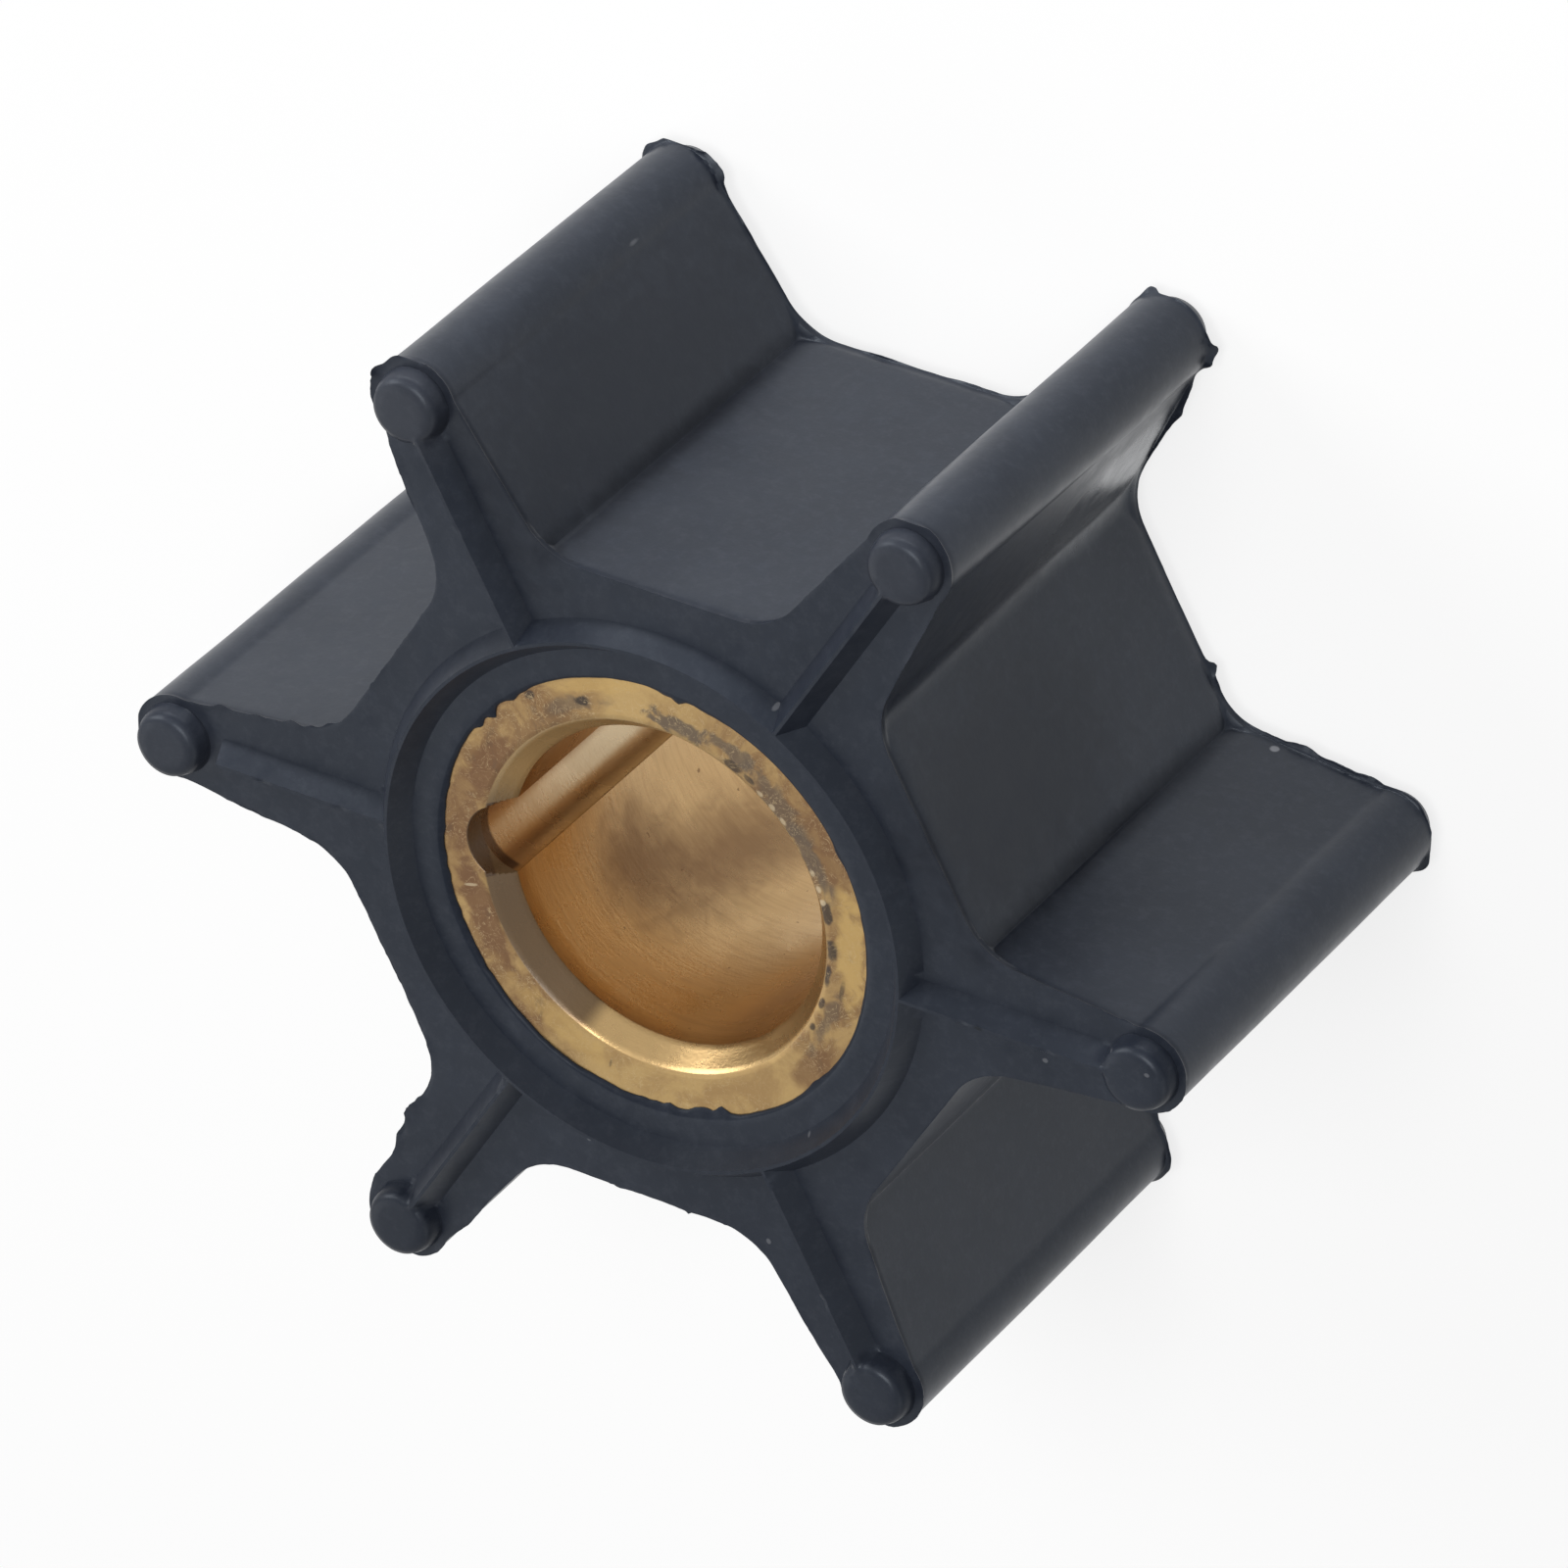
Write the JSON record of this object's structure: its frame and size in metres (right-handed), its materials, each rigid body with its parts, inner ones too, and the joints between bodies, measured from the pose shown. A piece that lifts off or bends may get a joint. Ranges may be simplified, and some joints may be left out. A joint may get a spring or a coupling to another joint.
{
  "type": "rubber pump impeller",
  "caption": "Flexible water pump impeller: straight rubber vanes with round tip beads on a flat-sided hub, bonded to a brass bush with a half-round keyway.",
  "frame": {"origin": "on the bore axis, in the plane of the lowest boss tops, where the impeller rests", "axes": "+Z along the bore; +X through the vane that the keyway points at; +Y a quarter turn from +X"},
  "size_m": [0.0508, 0.0446, 0.0234],
  "materials": {
    "rubber": "matt moulded, blue-black",
    "brass": "turned, stained, with rubber residue on the face"
  },
  "bodies": {
    "root": {"rubber_body": "rubber", "brass_insert": "brass"}
  },
  "joints": []
}
